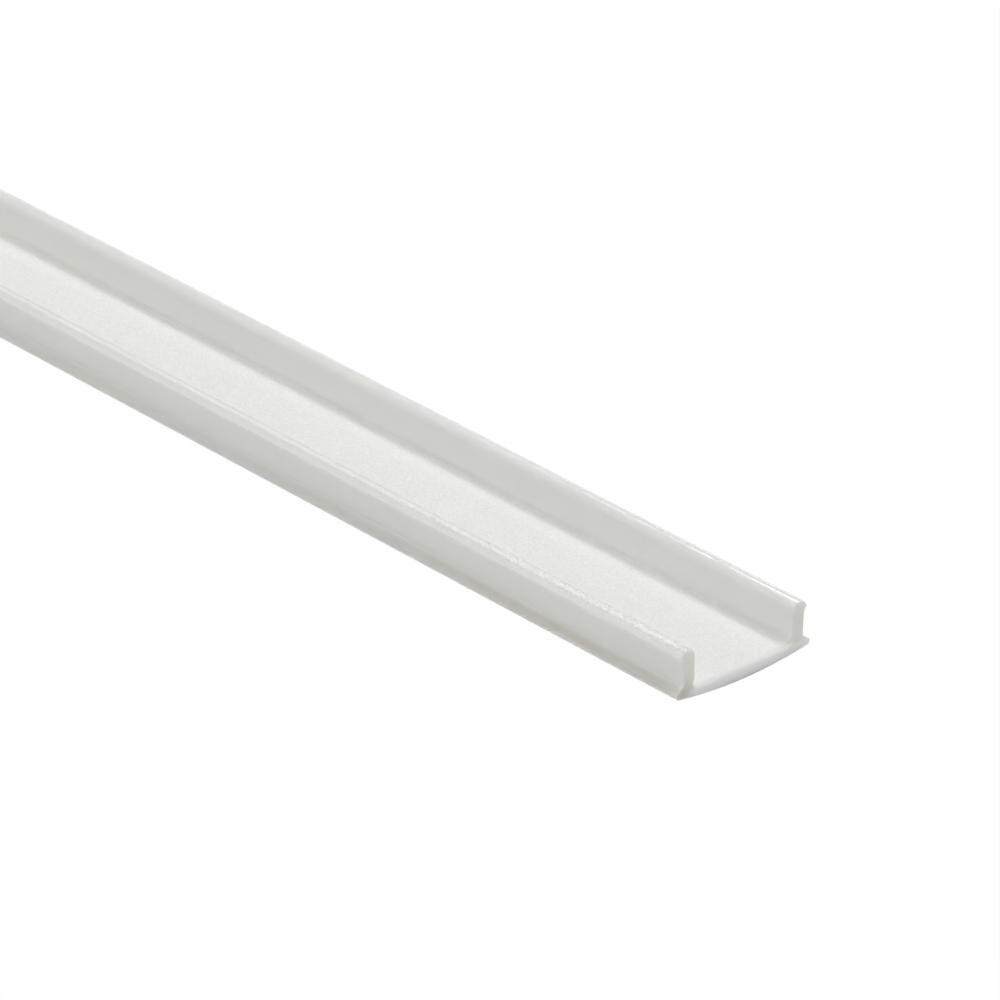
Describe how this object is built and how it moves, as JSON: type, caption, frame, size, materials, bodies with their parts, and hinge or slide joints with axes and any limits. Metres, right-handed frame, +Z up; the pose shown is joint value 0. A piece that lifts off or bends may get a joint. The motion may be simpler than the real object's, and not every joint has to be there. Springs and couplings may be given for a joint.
{
  "type": "led profile diffuser cover",
  "caption": "Long opal plastic snap-in cover for an LED strip channel, with a gently convex face, side lips and hooked clip legs.",
  "frame": {"origin": "mid-length and mid-width of the cover, on the lowest line of its convex face, where it lies on a surface", "axes": "+X along the extrusion, +Y across it, +Z up, the way the clip legs point"},
  "size_m": [0.5, 0.015, 0.005],
  "materials": {
    "opal_plastic": "extruded, frosted opal white"
  },
  "bodies": {
    "root": {"diffuser_cover": "opal_plastic"}
  },
  "joints": []
}
